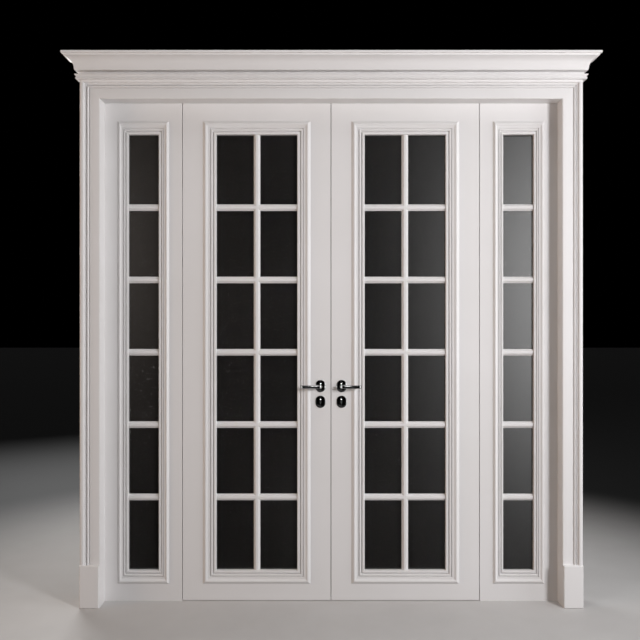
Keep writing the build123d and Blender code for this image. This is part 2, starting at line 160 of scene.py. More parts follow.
class Recipe:
    """A material in the making: a principled shader, and object coordinates to work from."""

    def __init__(self, name: str) -> None:
        """Starts an empty material.

        Args:
            name: the material's name.
        """
        self.material = bpy.data.materials.new(name)
        self.material.use_nodes = True
        self.tree = self.material.node_tree
        self.shader = self.tree.nodes["Principled BSDF"]
        self.place = add_node(self.tree, "TexCoord").outputs["Object"]

    def plain(self, name: str, value: float) -> None:
        """Sets a socket of the shader that is the same all over the surface."""
        self.shader.inputs[name].default_value = value

    def noise(self, scale: float, detail: float = 3.0,
              stretch: Place = (1.0, 1.0, 1.0)) -> bpy.types.NodeSocket:
        """Noise on object coordinates, stretched along the axes.

        Args:
            scale: cells in a metre.
            detail: octaves of the noise.
            stretch: share of the scale along each axis.

        Returns:
            The socket with values around a half.
        """
        mapping = add_node(self.tree, "Mapping", Vector=self.place, Scale=stretch)
        texture = add_node(self.tree, "TexNoise", Vector=mapping.outputs["Vector"], Scale=scale,
                           Detail=detail)
        return texture.outputs["Fac"]

    def tint(self, share: bpy.types.NodeSocket, low: Colour, high: Colour,
             target: bpy.types.NodeSocket | None = None, ends: Pair = NOISE_ENDS) -> None:
        """Colours a socket between two tints by a noise.

        Args:
            share: the noise.
            low: the tint at its low end.
            high: the tint at its high end.
            target: the socket to colour, or none for the shader's base colour.
            ends: the values of the noise at its two ends.
        """
        ramp = add_node(self.tree, "ValToRGB", Fac=share)
        for element, position, colour in zip(ramp.color_ramp.elements, ends, (low, high)):
            element.position = position
            element.color = rgba(colour)
        goal = self.shader.inputs["Base Color"] if target is None else target
        self.tree.links.new(ramp.outputs["Color"], goal)

    def gloss(self, share: bpy.types.NodeSocket, rough: Pair) -> None:
        """Sets the roughness between two values by a noise.

        Args:
            share: the noise.
            rough: the roughness at its low end and at its high end.
        """
        ranged = add_node(self.tree, "MapRange", Value=share, From_Min=NOISE_ENDS[0],
                          From_Max=NOISE_ENDS[1], To_Min=rough[0], To_Max=rough[1])
        self.tree.links.new(ranged.outputs["Result"], self.shader.inputs["Roughness"])

    def relief(self, height: bpy.types.NodeSocket, depth: float) -> None:
        """Bumps the shader's normal by a noise, over any bump that it has already.

        Args:
            height: the noise, read as a height.
            depth: the height of the relief.
        """
        bump = add_node(self.tree, "Bump", Height=height, Strength=1.0, Distance=depth)
        normal = self.shader.inputs["Normal"]
        if normal.is_linked:
            self.tree.links.new(normal.links[0].from_socket, bump.inputs["Normal"])
        self.tree.links.new(bump.outputs["Normal"], normal)


@dataclass(frozen=True)
class Finish:
    """What all finishes have: a name, and a way to make the material."""

    name: str

    def make(self) -> bpy.types.Material:
        """Builds the material."""
        return Recipe(self.name).material


@dataclass(frozen=True)
class Paint(Finish):
    """Satin off-white paint with faint brush marks along the board."""

    run: Run = Run.UPRIGHT
    pale: Colour = (0.83, 0.82, 0.82)
    deep: Colour = (0.80, 0.79, 0.785)
    shine: float = 0.42
    rough: Pair = (0.34, 0.46)
    cloud_scale: float = 2.3
    mark_scale: float = 900.0
    mark_detail: float = 2.0
    mark_depth: float = 0.03 * MM
    peel_scale: float = 420.0
    peel_detail: float = 1.0
    peel_depth: float = 0.02 * MM

    def make(self) -> bpy.types.Material:
        """Builds a broad tint, brush marks and a fine orange peel.

        Returns:
            The material.
        """
        recipe = Recipe(self.name)
        recipe.plain("Specular IOR Level", self.shine)
        recipe.tint(recipe.noise(self.cloud_scale), self.deep, self.pale)
        marks = recipe.noise(self.mark_scale, self.mark_detail, self.run.value)
        recipe.gloss(marks, self.rough)
        recipe.relief(marks, self.mark_depth)
        recipe.relief(recipe.noise(self.peel_scale, self.peel_detail), self.peel_depth)
        return recipe.material


@dataclass(frozen=True)
class Glass(Finish):
    """Float glass with a near-black tint, which is painted shade standing in for the dark seen through
    it, glossy in front.
    """

    # Both tints are near black, painted shade for the dark seen through the panes; the noise between them
    # is random tone.
    thin: Colour = (0.021, 0.020, 0.019)
    dense: Colour = (0.015, 0.0145, 0.014)
    clear_share: float = 0.45
    bending: float = 1.52
    rough: Pair = (0.035, 0.075)
    cloud_scale: float = 1.6
    haze_scale: float = 14.0
    wave_scale: float = 5.0
    wave_detail: float = 1.0
    wave_depth: float = 0.04 * MM

    def make(self) -> bpy.types.Material:
        """Builds a near-black tint of painted shade, a little haze and the slow wave of float glass.

        Returns:
            The material.
        """
        recipe = Recipe(self.name)
        recipe.plain("Transmission Weight", self.clear_share)
        recipe.plain("IOR", self.bending)
        recipe.tint(recipe.noise(self.cloud_scale), self.dense, self.thin)
        recipe.gloss(recipe.noise(self.haze_scale), self.rough)
        recipe.relief(recipe.noise(self.wave_scale, self.wave_detail), self.wave_depth)
        return recipe.material


@dataclass(frozen=True)
class Chrome(Finish):
    """Polished chrome with the faint smears of use."""

    bright: Colour = (0.66, 0.66, 0.67)
    dull: Colour = (0.58, 0.58, 0.59)
    rough: Pair = (0.05, 0.13)
    smear_scale: float = 60.0

    def make(self) -> bpy.types.Material:
        """Builds metal with a smeared polish.

        Returns:
            The material.
        """
        recipe = Recipe(self.name)
        recipe.plain("Metallic", 1.0)
        smear = recipe.noise(self.smear_scale)
        recipe.tint(smear, self.dull, self.bright)
        recipe.gloss(smear, self.rough)
        return recipe.material


@dataclass(frozen=True)
class Steel(Finish):
    """Satin steel, drawn along its length."""

    bright: Colour = (0.60, 0.60, 0.59)
    dull: Colour = (0.50, 0.50, 0.49)
    rough: Pair = (0.26, 0.42)
    line_scale: float = 2400.0
    line_depth: float = 0.01 * MM

    def make(self) -> bpy.types.Material:
        """Builds metal with fine upright drawing lines.

        Returns:
            The material.
        """
        recipe = Recipe(self.name)
        recipe.plain("Metallic", 1.0)
        lines = recipe.noise(self.line_scale, stretch=Run.UPRIGHT.value)
        recipe.tint(lines, self.dull, self.bright)
        recipe.gloss(lines, self.rough)
        recipe.relief(lines, self.line_depth)
        return recipe.material


@dataclass(frozen=True)
class Rubber(Finish):
    """Matt grey seal rubber."""

    worn: Colour = (0.38, 0.37, 0.36)
    fresh: Colour = (0.30, 0.29, 0.28)
    rough: Pair = (0.6, 0.8)
    pore_scale: float = 700.0
    pore_depth: float = 0.06 * MM

    def make(self) -> bpy.types.Material:
        """Builds a matt grey with fine pores.

        Returns:
            The material.
        """
        recipe = Recipe(self.name)
        pores = recipe.noise(self.pore_scale)
        recipe.tint(pores, self.fresh, self.worn)
        recipe.gloss(pores, self.rough)
        recipe.relief(pores, self.pore_depth)
        return recipe.material


@dataclass(frozen=True)
class FloorPaint(Finish):
    """Pale matt floor paint with a painted pool of light: its colour falls to black away from the door.
    """

    pale: Colour = (0.62, 0.61, 0.60)
    soft: Colour = (0.56, 0.55, 0.54)
    # Painted falloff of light: the floor darkens to this colour between the near and far distances.
    dark: Colour = (0.0, 0.0, 0.0)
    rough: float = 0.75
    grain_scale: float = 7.0
    grain_detail: float = 5.0
    grain_ends: Pair = (0.0, 1.0)
    near: float = 1.2
    far: float = 3.0

    def make(self) -> bpy.types.Material:
        """Builds a fine grain, darkened to black by the distance from the origin as a painted falloff of
        light.

        Returns:
            The material.
        """
        recipe = Recipe(self.name)
        recipe.plain("Roughness", self.rough)
        # Painted pool of light: the colour fades to black by the distance from the origin.
        away = add_node(recipe.tree, "VectorMath", operation="LENGTH", input_0=recipe.place)
        painted_falloff = add_node(recipe.tree, "MapRange", interpolation_type="SMOOTHSTEP",
                        Value=away.outputs["Value"], From_Min=self.near, From_Max=self.far)
        mixed = add_node(recipe.tree, "Mix", data_type="RGBA", input_0=painted_falloff.outputs["Result"])
        mixed.inputs[MIX_HIGH].default_value = rgba(self.dark)
        grain = recipe.noise(self.grain_scale, self.grain_detail)
        recipe.tint(grain, self.soft, self.pale, mixed.inputs[MIX_LOW], self.grain_ends)
        recipe.tree.links.new(mixed.outputs[MIX_RESULT], recipe.shader.inputs["Base Color"])
        return recipe.material


@dataclass
class Palette:
    """Every finish of the door once, by the record's slot and the way a board was brushed."""

    upright: bpy.types.Material = field(default_factory=Paint("white_paint_upright").make)
    level: bpy.types.Material = field(default_factory=Paint("white_paint_level", Run.LEVEL).make)
    glass: bpy.types.Material = field(default_factory=Glass("smoked_glass").make)
    chrome: bpy.types.Material = field(default_factory=Chrome("polished_chrome").make)
    steel: bpy.types.Material = field(default_factory=Steel("satin_steel").make)
    rubber: bpy.types.Material = field(default_factory=Rubber("seal_rubber").make)

    def for_slot(self, slot: Slot, run: Run = Run.UPRIGHT) -> bpy.types.Material:
        """The material of a record slot.

        Args:
            slot: the slot.
            run: the way in which a painted board was brushed.

        Returns:
            The material.
        """
        paint = self.upright if run is Run.UPRIGHT else self.level
        return {Slot.PAINT: paint, Slot.GLASS: self.glass, Slot.CHROME: self.chrome,
                Slot.STEEL: self.steel, Slot.RUBBER: self.rubber}[slot]


# Surfaces


def smooth(share: np.ndarray) -> np.ndarray:
    """The share, held between 0 and 1, as three of its squares less two of its cubes."""
    held = np.clip(share, 0.0, 1.0)
    return held * held * (3 - 2 * held)


def eased(points: np.ndarray, ease: np.ndarray, steps: int = 5, closed: bool = True) -> np.ndarray:
    """Rounds the corners of an outline.

    Each corner gives way to a quadratic curve that leaves its two sides at a set distance
    before and after the corner, or just under half of the side where that is shorter.

    Args:
        points: the corners, as rows of two coordinates.
        ease: distance from each corner at which its curve starts.
        steps: points on each curve.
        closed: whether the last corner joins the first; else the two ends stay.

    Returns:
        The points of the rounded outline in order.
    """
    ease = ease.copy()
    if not closed:
        ease[[0, -1]] = 0.0

    def leave(side: np.ndarray) -> np.ndarray:
        """Where the curve leaves a side."""
        length = np.maximum(np.linalg.norm(side, axis=1), TINY)
        return points + side * (np.minimum(ease, length * SIDE_LIMIT_SHARE) / length)[:, None]

    share = np.linspace(0.0, 1.0, steps)[None, :, None]
    first = leave(np.roll(points, 1, 0) - points)[:, None]
    last = leave(np.roll(points, -1, 0) - points)[:, None]
    curve = (1 - share) ** 2 * first + 2 * share * (1 - share) * points[:, None] + share**2 * last
    flat = curve.reshape(-1, points.shape[1])
    keep = np.linalg.norm(flat - np.roll(flat, 1, 0), axis=1) > TINY
    keep[0] = True
    return flat[keep]


def grid_faces(rows: int, columns: int, wrap_rows: bool, wrap_columns: bool) -> np.ndarray:
    """The quads of a grid of points, by index arithmetic on whole arrays.

    Args:
        rows: points along the first parameter.
        columns: points along the second parameter.
        wrap_rows: whether the last row joins the first.
        wrap_columns: whether the last column joins the first.

    Returns:
        Four point numbers for each quad.
    """
    row = np.arange(rows if wrap_rows else rows - 1)[:, None]
    here = np.arange(columns if wrap_columns else columns - 1)[None, :]
    there = (here + 1) % columns
    near, far = row * columns, (row + 1) % rows * columns
    return np.stack([near + here, near + there, far + there, far + here], -1).reshape(-1, 4)


def carried(stations: np.ndarray, closed_path: bool = False, capped: bool = True) -> Mesh:
    """A closed section carried along a path.

    Args:
        stations: the section's points at each place along the path, path by section by three.
        closed_path: whether the path runs back into its start.
        capped: whether an open path is closed by a face at both ends.

    Returns:
        Points, and blocks of faces with as many corners.
    """
    count, across = stations.shape[:2]
    blocks = [grid_faces(count, across, closed_path, True)]
    if capped and not closed_path:
        end = np.arange(across)[None]
        blocks += [end[:, ::-1], end + (count - 1) * across]
    return stations.reshape(-1, 3), blocks


def joined(meshes: list[Mesh]) -> Mesh:
    """Several meshes as one, with their point numbers moved up.

    Args:
        meshes: points and blocks of faces of each.

    Returns:
        All points, and all blocks of faces.
    """
    offsets = np.cumsum([0, *[len(points) for points, _ in meshes]])
    blocks = [block + offset for (_, own), offset in zip(meshes, offsets) for block in own]
    return np.concatenate([points for points, _ in meshes]), blocks


def make_piece(name: str, mesh: Mesh, material: bpy.types.Material, body: str, slot: Slot,
               *nodes: str) -> bpy.types.Object:
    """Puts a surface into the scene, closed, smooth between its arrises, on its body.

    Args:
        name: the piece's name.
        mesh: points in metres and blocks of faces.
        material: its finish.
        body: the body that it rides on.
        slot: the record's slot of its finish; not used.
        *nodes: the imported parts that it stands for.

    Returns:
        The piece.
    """
    points, blocks = mesh
    data = bpy.data.meshes.new(name)
    data.from_pydata(points.tolist(), [], [face for block in blocks for face in block.tolist()])
    build = bmesh.new()
    build.from_mesh(data)
    bmesh.ops.remove_doubles(build, verts=build.verts, dist=MERGE_GAP)
    bmesh.ops.dissolve_degenerate(build, edges=build.edges, dist=MERGE_GAP)
    bmesh.ops.recalc_face_normals(build, faces=build.faces)
    build.to_mesh(data)
    build.free()
    data.shade_smooth()
    data.set_sharp_from_angle(angle=SHARP_ANGLE)
    data.materials.append(material)
    piece = bpy.data.objects.new(name, data)
    bpy.context.scene.collection.objects.link(piece)
    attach(piece, body)
    if nodes:
        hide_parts(*nodes)
    return piece


# Sub-assemblies


@dataclass
class Casing:
    """The moulded casing and the cornice above it.

    The corners of a section are shares of its width and thickness, and each corner's ease is a
    share of the width.
    """

    width: float = 88.6 * MM
    thick: float = 34.0 * MM
    cornice_out: float = 62.3 * MM
    cornice_lip: float = 7.6 * MM
    groove_deeper: float = 22.0 * MM
    groove_rows: tuple[int, ...] = (9, 10)
    casing_shares: tuple[Pair, ...] = (
        (0.0, 0.0), (0.0, 0.86), (0.05, 1.0), (0.2, 1.0), (0.222, 0.86), (0.23, 0.70),
        (0.305, 0.74), (0.322, 0.48), (0.345, 0.69), (0.39, 0.80), (0.435, 0.69), (0.452, 0.5),
        (0.48, 0.647), (0.975, 0.647), (1.0, 0.6), (1.0, 0.0))
    casing_ease_shares: tuple[float, ...] = (
        0.0, 0.09, 0.14, 0.09, 0.05, 0.02, 0.02, 0.01, 0.04, 0.06, 0.04, 0.01, 0.02, 0.03, 0.02, 0.0)
    cornice_shares: tuple[Pair, ...] = (
        (0.0, 0.0), (0.2, 0.0), (0.216, 0.015), (0.216, 0.05), (0.18, 0.075), (0.18, 0.13),
        (0.2, 0.15), (0.266, 0.15), (0.266, 0.195), (0.13, 0.195), (0.13, 0.345), (0.266, 0.345),
        (0.276, 0.365), (0.32, 0.56), (0.5, 0.73), (0.82, 0.82), (0.86, 0.82), (0.86, 0.905),
        (1.0, 0.905), (1.0, 1.0), (0.0, 1.0))
    cornice_ease_shares: tuple[float, ...] = (
        0.0, 0.01, 0.04, 0.04, 0.04, 0.04, 0.01, 0.02, 0.02, 0.01, 0.01, 0.02, 0.05, 0.3, 0.3, 0.1,
        0.02, 0.01, 0.02, 0.08, 0.0)
    outer_x: float = field(init=False)
    outer_z: float = field(init=False)
    foot_z: float = field(init=False)
    top_z: float = field(init=False)

    def __post_init__(self) -> None:
        """Reads the casing's outer corner, its foot and the cornice's top from the frame."""
        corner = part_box("head_casing")[1]
        self.outer_x, self.outer_z = corner.x, corner.z
        self.foot_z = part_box("right_plinth_block")[1].z
        self.top_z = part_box("cornice_front")[1].z

    def section(self) -> np.ndarray:
        """The casing's section: distance in from the outer edge, and height off the wall."""
        corners = np.array(self.casing_shares) * (self.width, self.thick)
        return eased(corners, np.array(self.casing_ease_shares) * self.width)

    def cornice_section(self, deeper: float) -> np.ndarray:
        """The cornice's closed section: distance out of the casing, and height over its own foot.

        Args:
            deeper: how far the floor of the groove under the cove is drawn back.

        Returns:
            The points of the section in order.
        """
        tall = self.top_z - self.outer_z + self.cornice_lip
        corners = np.array(self.cornice_shares) * (self.cornice_out, tall)
        corners[list(self.groove_rows), 0] -= deeper
        core = np.array([[-self.thick, tall], [-self.thick, self.cornice_lip], [0.0, self.cornice_lip]])
        ease = np.array(self.cornice_ease_shares) * self.cornice_out
        return eased(np.concatenate([corners, core]), np.concatenate([ease, np.zeros(len(core))]))

    def cornice(self) -> Mesh:
        """The cornice round the casing: a point that is o out of the casing turns o past its corner.

        Its groove is drawn back along the front alone, so that the ends keep their outline.

        Returns:
            Points and faces.
        """
        side_out, height = self.cornice_section(0.0).T
        front_out = self.cornice_section(self.groove_deeper)[:, 0]
        z = self.outer_z - self.cornice_lip + height
        out = self.outer_x + side_out
        wall, front = np.zeros_like(out), -(self.thick + front_out)
        path = [(-out, wall), (-out, front), (out, front), (out, wall)]
        return carried(np.stack([np.stack([x, y, z], 1) for x, y in path]))

    def build(self, palette: Palette) -> list[bpy.types.Object]:
        """Builds three mitred lengths and the cornice.

        A point of the section that lies u in from the outer edge ends u short of the corner.

        Args:
            palette: the finishes.

        Returns:
            The pieces.
        """
        inward, height = self.section().T
        pieces: list[bpy.types.Object] = []
        corners: list[np.ndarray] = []
        for side in Side:
            x = (self.outer_x - inward) * side.value
            foot = np.stack([x, -height, np.full_like(inward, self.foot_z)], 1)
            corner = np.stack([x, -height, self.outer_z - inward], 1)
            corners.append(corner)
            node = f"{side.word}_casing"
            pieces.append(make_piece(f"{node}_moulded", carried(np.stack([foot, corner])),
                                     palette.upright, "frame", Slot.PAINT, node))
        pieces.append(make_piece("head_casing_moulded", carried(np.stack(corners)), palette.level,
                                 "frame", Slot.PAINT, "head_casing"))
        pieces.append(make_piece("cornice_moulded", self.cornice(), palette.level, "frame", Slot.PAINT,
                                 "cornice_front", "cornice_left_return", "cornice_right_return"))
        return pieces


@dataclass
class Glazing:
    """Mouldings and bars of one leaf or sidelight.

    The corners of the moulding's section are shares of its width and rise, those of the bar's
    section are shares of half its width and of its height, and each ease is a share of the width.
    """

    side: Side
    panel: Panel
    rail_mould_width: float = 62.0 * MM
    leaf_mould_width: float = 62.0 * MM
    sidelight_mould_width: float = 48.5 * MM
    mould_rise: float = 9.0 * MM
    bar_width: float = 30.0 * MM
    bar_height: float = 14.0 * MM
    bar_count: int = 5
    bed: float = 19.0 * MM
    lap_share: float = 0.32
    end_bury: float = 1.0 * MM
    mould_shares: tuple[Pair, ...] = (
        (0.0, 0.0), (0.0, 0.04), (0.015, 0.06), (0.185, 0.97), (0.22, 1.04), (0.27, 1.0),
        (0.40, 0.38), (0.53, 0.34), (0.54, -0.45), (0.59, -0.45), (0.605, 0.30), (0.69, 0.34),
        (0.74, 0.05), (0.755, -0.8), (0.80, -0.8), (0.815, 0.02), (0.84, 0.2), (0.95, 0.2),
        (1.0, 0.0))
    mould_ease_shares: tuple[float, ...] = (
        0.0, 0.01, 0.02, 0.03, 0.03, 0.05, 0.05, 0.01, 0.008, 0.008, 0.02, 0.04, 0.02, 0.008, 0.008,
        0.02, 0.03, 0.03, 0.02)
    bar_shares: tuple[Pair, ...] = ((1.0, 0.0), (1.0, 0.36), (0.86, 0.42), (0.56, 0.74), (0.42, 1.0))
    bar_ease_shares: tuple[float, ...] = (0.0, 0.06, 0.10, 0.16, 0.18)
    name: str = field(init=False)
    body: str = field(init=False)
    stile_mould_width: float = field(init=False)
    middle: Pair = field(init=False)
    half: Pair = field(init=False)
    pane_y: dict[Face, float] = field(init=False)

    def __post_init__(self) -> None:
        """Picks the panel's body and upright mouldings, and reads ring and glass from the frame."""
        leaf = self.panel is Panel.LEAF
        self.name = f"{self.side.word}_{self.panel.word}"
        self.body = self.name if leaf else "frame"
        self.stile_mould_width = self.leaf_mould_width if leaf else self.sidelight_mould_width
        low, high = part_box(f"{self.name}_mouldings")
        self.middle = ((low.x + high.x) / 2, (low.z + high.z) / 2)
        self.half = ((high.x - low.x) / 2, (high.z - low.z) / 2)
        pane_low, pane_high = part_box(f"{self.name}_glass")
        self.pane_y = {Face.FRONT: pane_low.y, Face.BACK: pane_high.y}

    def section(self) -> np.ndarray:
        """The moulding's closed section, rounded at the width that it has on a rail.

        Returns:
            Rows of the share in from its outer edge, and the height off the stile.
        """
        shares = np.array(self.mould_shares) * (1.0, self.mould_rise)
        bed = np.array([[1.0, -self.bed], [self.lap_share, -self.bed], [self.lap_share, 0.0]])
        scale = np.array([self.rail_mould_width, 1.0])
        ease = np.concatenate([self.mould_ease_shares, np.zeros(len(bed))]) * self.rail_mould_width
        return eased(np.concatenate([shares, bed]) * scale, ease) / scale

    def ring(self, face: Face) -> Mesh:
        """One mitred ring: at share u the section lies on a rectangle that is u widths smaller.

        Args:
            face: the face of the panel.

        Returns:
            Points and faces.
        """
        inward, height = self.section().T
        y = self.pane_y[face] + face.value * (self.bed + height)
        wide = self.half[0] - inward * self.stile_mould_width
        tall = self.half[1] - inward * self.rail_mould_width
        corners = [(1, 1), (-1, 1), (-1, -1), (1, -1)]
        path = [(self.middle[0] + a * wide, self.middle[1] + b * tall) for a, b in corners]
        return carried(np.stack([np.stack([x, y, z], 1) for x, z in path]), closed_path=True)

    def bar_section(self) -> np.ndarray:
        """The bar's closed section, alike on both sides.

        Returns:
            Rows of the distance across, and the height off the glass.
        """
        half = np.array(self.bar_shares) * (self.bar_width / 2, self.bar_height)
        corners = np.concatenate([half, half[::-1] * (-1, 1)])
        ease = np.array(self.bar_ease_shares) * self.bar_width
        return eased(corners, np.concatenate([ease, ease[::-1]]))

    def bar(self, face: Face, start: np.ndarray, along: np.ndarray, length: float,
            mitred: tuple[bool, bool]) -> Mesh:
        """One length of bar; a mitred end is drawn back by each point's distance off the middle.

        Args:
            face: the face of the glass it is planted on.
            start: the middle of its first end on the glass.
            along: its direction.
            length: its length between middles.
            mitred: whether each end meets others in a crossing.

        Returns:
            Points and faces, left open at mitred ends.
        """
        across, height = self.bar_section().T
        aside = np.array([along[2], 0.0, along[0]])
        ends = []
        for place, sign, cut in ((0.0, 1.0, mitred[0]), (length, -1.0, mitred[1])):
            reach = place + sign * cut * np.abs(across)
            flat = start + np.outer(reach, along) + np.outer(across, aside)
            flat[:, 1] += face.value * height
            ends.append(flat)
        points, blocks = carried(np.stack(ends), capped=False)
        cap = np.arange(len(across))[None]
        caps = [cap + end * len(across) for end, cut in enumerate(mitred) if not cut]
        return points, blocks + caps

    def lattice(self, face: Face) -> list[Mesh]:
        """The bars of one face, as lengths between the crossings and the mouldings.

        The level bars part the height between the mouldings into equal lites, and on a leaf one
        upright bar runs up the middle.

        Args:
            face: the face of the glass.

        Returns:
            One mesh for each length.
        """
        wide = (self.half[0] - self.stile_mould_width + self.end_bury) * 2
        tall = (self.half[1] - self.rail_mould_width) * 2
        base = np.array([self.middle[0], self.pane_y[face], self.middle[1]])
        level, up = np.array([1.0, 0.0, 0.0]), np.array([0.0, 0.0, 1.0])
        places = (np.arange(1, self.bar_count + 1) / (self.bar_count + 1) - 0.5) * tall
        if self.panel is Panel.SIDELIGHT:
            starts = [base - level * wide / 2 + up * z for z in places]
            return [self.bar(face, start, level, wide, (False, False)) for start in starts]
        lengths = []
        for z in places:
            first = base - level * wide / 2 + up * z
            lengths.append(self.bar(face, first, level, wide / 2, (False, True)))
            lengths.append(self.bar(face, base + up * z, level, wide / 2, (True, False)))
        ends = np.array([-tall / 2 - self.end_bury, *places, tall / 2 + self.end_bury])
        for number, (low, high) in enumerate(zip(ends[:-1], ends[1:])):
            mitred = (number > 0, number < self.bar_count)
            lengths.append(self.bar(face, base + up * low, up, high - low, mitred))
        return lengths

    def build(self, palette: Palette) -> list[bpy.types.Object]:
        """Builds both rings as one piece and both lattices as another.

        Args:
            palette: the finishes.

        Returns:
            The pieces.
        """
        rings = joined([self.ring(face) for face in Face])
        bars = joined([length for face in Face for length in self.lattice(face)])
        return [make_piece(f"{self.name}_mouldings_moulded", rings, palette.upright, self.body,
                           Slot.PAINT, f"{self.name}_mouldings"),
                make_piece(f"{self.name}_bars_moulded", bars, palette.level, self.body,
                           Slot.PAINT, f"{self.name}_bars")]


@dataclass
class Furniture:
    """Levers and rosettes of one leaf."""

    side: Side
    dome_share: float = 0.66
    end_sharpness: float = 6.0
    key_drop: float = 72.0 * MM
    keyhole_radius: float = 3.6 * MM
    keyslot_width: float = 3.2 * MM
    keyslot_drop: float = 9.0 * MM
    bore_radius: float = 7.0 * MM
    neck_radius: float = 8.0 * MM
    neck_gap: float = 0.3 * MM
    reach: float = 89.0 * MM
    stand_off: float = 51.5 * MM
    grip_tall: float = 15.0 * MM
    grip_thick: float = 11.0 * MM
    tip_return: float = 20.0 * MM
    bend: float = 13.0 * MM
    tip_bend: float = 12.0 * MM
    tip_dome: float = 2.0 * MM
    tip_end_share: float = 0.97
    turn_share: float = 1.15
    box_share: float = 0.56
    foot_steps: tuple[float, ...] = (0.0, 0.3 * MM, 1.0 * MM)
    foot_scale_shares: tuple[float, ...] = (0.86, 0.97, 1.0)
    rosette_points: int = 96
    rosette_rings: int = 14
    lever_points: int = 40
    bend_points: int = 12
    tip_points: int = 6
    x: float = field(init=False)
    z: float = field(init=False)
    face_y: dict[Face, float] = field(init=False)
    rosette_width: float = field(init=False)
    rosette_height: float = field(init=False)
    rosette_thick: float = field(init=False)

    def __post_init__(self) -> None:
        """Reads the spindle, the rosettes and the two faces of the leaf from the frame."""
        low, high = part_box(f"{self.side.word}_spindle")
        self.x, self.z = (low.x + high.x) / 2, (low.z + high.z) / 2
        front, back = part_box(f"{self.side.word}_leaf_meeting_stile")
        self.face_y = {Face.FRONT: front.y, Face.BACK: back.y}
        low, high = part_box(f"{self.side.word}_rosettes")
        self.rosette_width = high.x - low.x
        self.rosette_height = high.z - low.z - self.key_drop
        self.rosette_thick = front.y - low.y

    def placed(self, points: np.ndarray, face: Face, z: float) -> np.ndarray:
        """Turns across, off the face and up into the door's own axes.

        Args:
            points: rows of across (towards the hinges), off the leaf, and up.
            face: the face of the leaf.
            z: the height of the centre.

        Returns:
            The points in metres.
        """
        across, off, up = np.moveaxis(points, -1, 0)
        return np.stack([self.x + self.side.value * across,
                         self.face_y[face] + face.value * off, z + up], -1)

    def opening(self, angle: np.ndarray, keyed: bool) -> np.ndarray:
        """The hole's radius at each angle: a circle, and below it the key slot where that reaches on.

        Args:
            angle: angles from the across direction.
            keyed: whether it is a keyhole rather than the bore for the neck.

        Returns:
            One radius for each angle.
        """
        if not keyed:
            return np.full_like(angle, self.bore_radius)
        side = self.keyslot_width / 2 / np.maximum(np.abs(np.cos(angle)), TINY)
        drop = self.keyslot_drop / np.maximum(-np.sin(angle), TINY)
        slot = np.where(np.sin(angle) < 0, np.minimum(side, drop), 0.0)
        return np.maximum(slot, self.keyhole_radius)

    def rosette(self, face: Face, z: float, keyed: bool) -> Mesh:
        """An oval rosette: its height falls with the square of the share from the hole to the rim.

        The rim is a circle whose upper and lower halves are drawn apart, by a hyperbolic tangent of
        the height on the circle. Two of its angles are those of the key slot's lower corners.

        Args:
            face: the face of the leaf.
            z: the height of its centre.
            keyed: whether its hole is a keyhole.

        Returns:
            Points and faces of a closed ring.
        """
        even = np.linspace(-np.pi, np.pi, self.rosette_points, endpoint=False)
        corner = np.arctan2(-self.keyslot_drop, self.keyslot_width / 2)
        angle = np.sort(np.append(even, [corner, -np.pi - corner]))
        circle = np.stack([np.cos(angle), np.sin(angle)], -1)
        straight = (self.rosette_height - self.rosette_width) / 2
        rim = self.rosette_width / 2 * circle
        rim[:, 1] += straight * np.tanh(self.end_sharpness * circle[:, 1])
        hole = self.opening(angle, keyed)[:, None] * circle
        share = np.sin(np.linspace(0.0, np.pi / 2, self.rosette_rings))[:, None]
        height = self.rosette_thick * (1 - self.dome_share * share**2)
        flat = hole[None] + (rim - hole)[None] * share[..., None]
        off = np.broadcast_to(height, flat.shape[:2])
        top = np.stack([flat[..., 0], off, flat[..., 1]], -1)
        foot = top[[-1, 0]] * (1.0, 0.0, 1.0)
        return carried(self.placed(np.concatenate([top, foot]), face, z), closed_path=True)

    def lever(self, face: Face) -> Mesh:
        """A lever: a rounded section carried up the neck, along the grip and back at the tip.

        The path is three straight runs with eased bends. The section's two half widths go with a
        power of the cosine and of the sine, which falls from 1, a circle in the neck, to that of a
        rounded oblong in the grip. At the tip the section shrinks along a quarter circle.

        Args:
            face: the face of the leaf.

        Returns:
            Points and faces of a closed form.
        """
        mid, tip = self.stand_off - self.grip_thick / 2, self.reach - self.grip_thick / 2
        foot = self.rosette_thick + self.neck_gap
        corners = np.array([[0.0, foot], [0.0, mid], [tip, mid], [tip, self.stand_off - self.tip_return]])
        ease = np.array([0.0, self.bend, self.tip_bend, 0.0])
        line = eased(corners, ease, self.bend_points, closed=False)
        step = np.gradient(line, axis=0)
        step /= np.linalg.norm(step, axis=1)[:, None]
        run = np.concatenate([[0.0], np.cumsum(np.linalg.norm(np.diff(line, axis=0), axis=1))])
        turned = smooth((run - (mid - foot - self.bend)) / (self.bend * self.turn_share))
        dome = np.linspace(0.0, self.tip_end_share, self.tip_points)[1:]
        even = np.ones(len(line) - 1)
        rows = np.concatenate([[0, 0], np.arange(len(line)), np.full(len(dome), len(line) - 1)])
        shift = np.concatenate([self.foot_steps, 0.0 * even, dome * self.tip_dome])[:, None]
        scale = np.concatenate([self.foot_scale_shares, even, np.sqrt(1 - dome**2)])
        line, step, turned = line[rows] + step[rows] * shift, step[rows], turned[rows]
        power = (1.0 - self.box_share * turned)[:, None]
        angle = np.linspace(0.0, 2 * np.pi, self.lever_points, endpoint=False)[None]

        def width(grip: float, wave: np.ndarray) -> np.ndarray:
            """The section's reach on one of its axes, from the neck's radius to half the grip."""
            half = (self.neck_radius + (grip / 2 - self.neck_radius) * turned) * scale
            return half[:, None] * np.sign(wave) * np.abs(wave) ** power

        aside = np.stack([step[:, 1], -step[:, 0]], -1)
        plan = line[:, None] + width(self.grip_thick, np.cos(angle))[..., None] * aside[:, None]
        up = width(self.grip_tall, np.sin(angle))
        return carried(self.placed(np.stack([plan[..., 0], plan[..., 1], up], -1), face, self.z))

